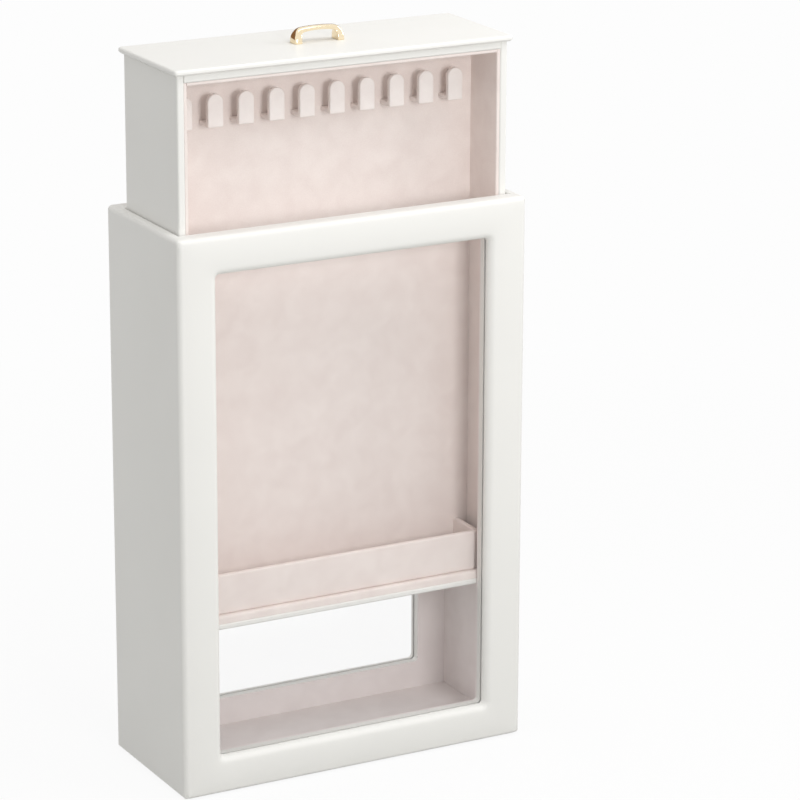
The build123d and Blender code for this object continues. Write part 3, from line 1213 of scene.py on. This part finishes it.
@dataclass
class Studio:
    """White floor, soft boxes, the brown card for the gold and the camera."""

    position: Vector = field(default_factory=lambda: Vector((-1.0164, -1.9742, 0.9082)))
    yaw: float = 28.542
    pitch: float = 17.095
    roll: float = 0.216
    lens: float = 169.71
    sensor: float = 36.0
    reach: float = 50.0
    floor_size: float = 6.0
    floor_colour: str = "#bcbcba"
    floor_seen: str = "#f9f9f8"
    backdrop: str = "#fdfdfd"
    card_colour: str = "#846449"
    card_distance: float = 1.6
    card_foot: float = -4.0
    card_tops: tuple[tuple[float, float], ...] = (
        (-60.0, 8.0), (-40.0, 9.0), (-26.0, 12.0), (-13.0, 22.0), (0.0, 32.0),
        (15.0, 38.0), (30.0, 40.0), (45.0, 40.0), (60.0, 38.0), (75.0, 34.0),
    )
    shadow_share: float = 0.08
    shadow_reach: tuple[float, float] = (0.2, 0.9)
    lamps: tuple[Lamp, ...] = (
        Lamp("key", -4.0, 18.0, 1.3, 0.36, 5.8),
        Lamp("high_right", 30.0, 60.0, 1.0, 0.28, 1.3),
        Lamp("right", 65.0, 32.0, 1.0, 0.28, 1.8),
        Lamp("rear_left", -150.0, 16.0, 1.5, 1.0, 5.4, mirrored=False),
        Lamp("top", 0.0, 85.0, 1.3, 1.0, 4.1),
    )
    ambient: float = 0.56

    def build(self) -> None:
        """Sets up camera, floor, lamps and world."""
        low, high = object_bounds()
        self.camera()
        self.floor()
        self.brown_card(high.z)
        for lamp in self.lamps:
            lamp.build((low + high) / 2)
        self.world()
        bpy.context.scene.view_settings.view_transform = "Standard"

    def camera(self) -> None:
        """Puts the camera where the photograph was taken from."""
        yaw, pitch, roll = (math.radians(a) for a in (self.yaw, self.pitch, self.roll))
        forward = Vector((
            math.sin(yaw) * math.cos(pitch), math.cos(yaw) * math.cos(pitch), -math.sin(pitch)
        ))
        level = forward.cross(Vector((0, 0, 1))).normalized()
        rise = level.cross(forward)
        right = level * math.cos(roll) + rise * math.sin(roll)
        up = rise * math.cos(roll) - level * math.sin(roll)
        data = bpy.data.cameras.new("camera")
        data.lens = self.lens
        data.sensor_width = self.sensor
        data.clip_end = self.reach
        camera = bpy.data.objects.new("camera", data)
        axes = Matrix((right, up, -forward)).transposed().to_4x4()
        camera.matrix_world = Matrix.Translation(self.position) @ axes
        bpy.context.scene.collection.objects.link(camera)
        bpy.context.scene.camera = camera

    def shown_to_eye(self, tree: NodeTree) -> NodeSocket:
        """Tells the rays that show the backdrop, straight, mirrored or through a pane.

        Args:
            tree: Tree that takes the nodes.

        Returns:
            1 for those rays, and 0 for the rays that only light the object.
        """
        rays = add_node(tree, "ShaderNodeLightPath").outputs
        mirrored = reckon(tree, "MAXIMUM", rays["Is Camera Ray"], rays["Is Glossy Ray"])
        return reckon(tree, "MAXIMUM", mirrored, rays["Is Transmission Ray"])

    def floor(self) -> None:
        """Lays a white floor that the camera sees bright, with the object's shadow on it."""
        half = self.floor_size / 2
        mesh = bpy.data.meshes.new("floor")
        corners = [(-half, -half, 0), (half, -half, 0), (half, half, 0), (-half, half, 0)]
        mesh.from_pydata(corners, [], [(0, 1, 2, 3)])
        floor = new_piece("floor", mesh)
        material, tree = blank_material("floor")
        shown = self.shown_to_eye(tree)
        place = add_node(tree, "ShaderNodeTexCoord").outputs["Object"]
        away = add_node(tree, "ShaderNodeVectorMath", {"operation": "LENGTH"}, {0: place})
        near, far = self.shadow_reach
        white = add_node(
            tree, "ShaderNodeMapRange", {},
            {0: away.outputs["Value"], 1: near, 2: far, 3: 1 - self.shadow_share, 4: 1.0},
        )
        share = reckon(tree, "MULTIPLY", shown, white.outputs[0])
        tone = blend(tree, shown, self.floor_colour, self.floor_seen)
        matt = add_node(tree, "ShaderNodeBsdfDiffuse", {}, {"Color": tone})
        glow = add_node(
            tree, "ShaderNodeEmission", {}, {"Color": linear(self.backdrop), "Strength": 1.0}
        )
        mixed = add_node(
            tree, "ShaderNodeMixShader", {},
            {0: share, 1: matt.outputs[0], 2: glow.outputs[0]},
        )
        add_node(tree, "ShaderNodeOutputMaterial", {}, {"Surface": mixed.outputs[0]})
        dress(floor, material)
        floor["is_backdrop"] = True

    def brown_card(self, height: float) -> None:
        """Bends a brown card round the back, seen only in what mirrors it, such as the gold.

        Args:
            height: Height of the handle, where the card's angles are taken from.
        """
        corners = []
        for turn, top in self.card_tops:
            across = math.radians(turn)
            x, y = -self.card_distance * math.sin(across), self.card_distance * math.cos(across)
            for rise in (self.card_foot, top):
                corners.append((x, y, height + self.card_distance * math.tan(math.radians(rise))))
        strips = range(0, len(corners) - 2, 2)
        faces = [(i, i + 1, i + 3, i + 2) for i in strips]
        mesh = bpy.data.meshes.new("brown_card")
        mesh.from_pydata(corners, [], faces)
        card = new_piece("brown_card", mesh)
        for kind in ("camera", "diffuse", "transmission", "volume_scatter", "shadow"):
            setattr(card, f"visible_{kind}", False)
        material, tree = blank_material("brown_card")
        glow = add_node(tree, "ShaderNodeEmission", {}, {"Color": linear(self.card_colour)})
        add_node(tree, "ShaderNodeOutputMaterial", {}, {"Surface": glow.outputs[0]})
        dress(card, material)
        card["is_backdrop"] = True

    def world(self) -> None:
        """Lights the object evenly and shows white behind it and in its reflections."""
        world = bpy.data.worlds.new("studio")
        world.use_nodes = True
        tree = world.node_tree
        tree.nodes.clear()
        strength = between(tree, self.shown_to_eye(tree), self.ambient, 1.0)
        sky = add_node(
            tree, "ShaderNodeBackground", {},
            {"Color": linear(self.backdrop), "Strength": strength},
        )
        add_node(tree, "ShaderNodeOutputWorld", {}, {"Surface": sky.outputs[0]})
        bpy.context.scene.world = world


def main() -> None:
    """Builds the object and its studio."""
    logging.basicConfig(level=logging.INFO, format="%(name)s: %(message)s")
    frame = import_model()
    finishes = Finishes()
    finishes.dress_nodes(frame)
    velvet = finishes.materials[Slot.VELVET]
    leatherette = finishes.materials[Slot.LEATHERETTE]
    pieces = []
    for side in Side:
        pieces += [
            WindowFrame(side, leatherette).build(),
            HookRow(side, finishes.flock).build(frame),
            TrayWall(side, velvet).build(),
            FloorPad(side, velvet).build(),
        ]
    pieces.append(BowHandle(finishes.materials[Slot.GOLD]).build())
    for piece in pieces:
        log.info("piece %s: %d faces", piece.name, len(piece.data.polygons))
    Studio().build()


if __name__ == "__main__":
    main()
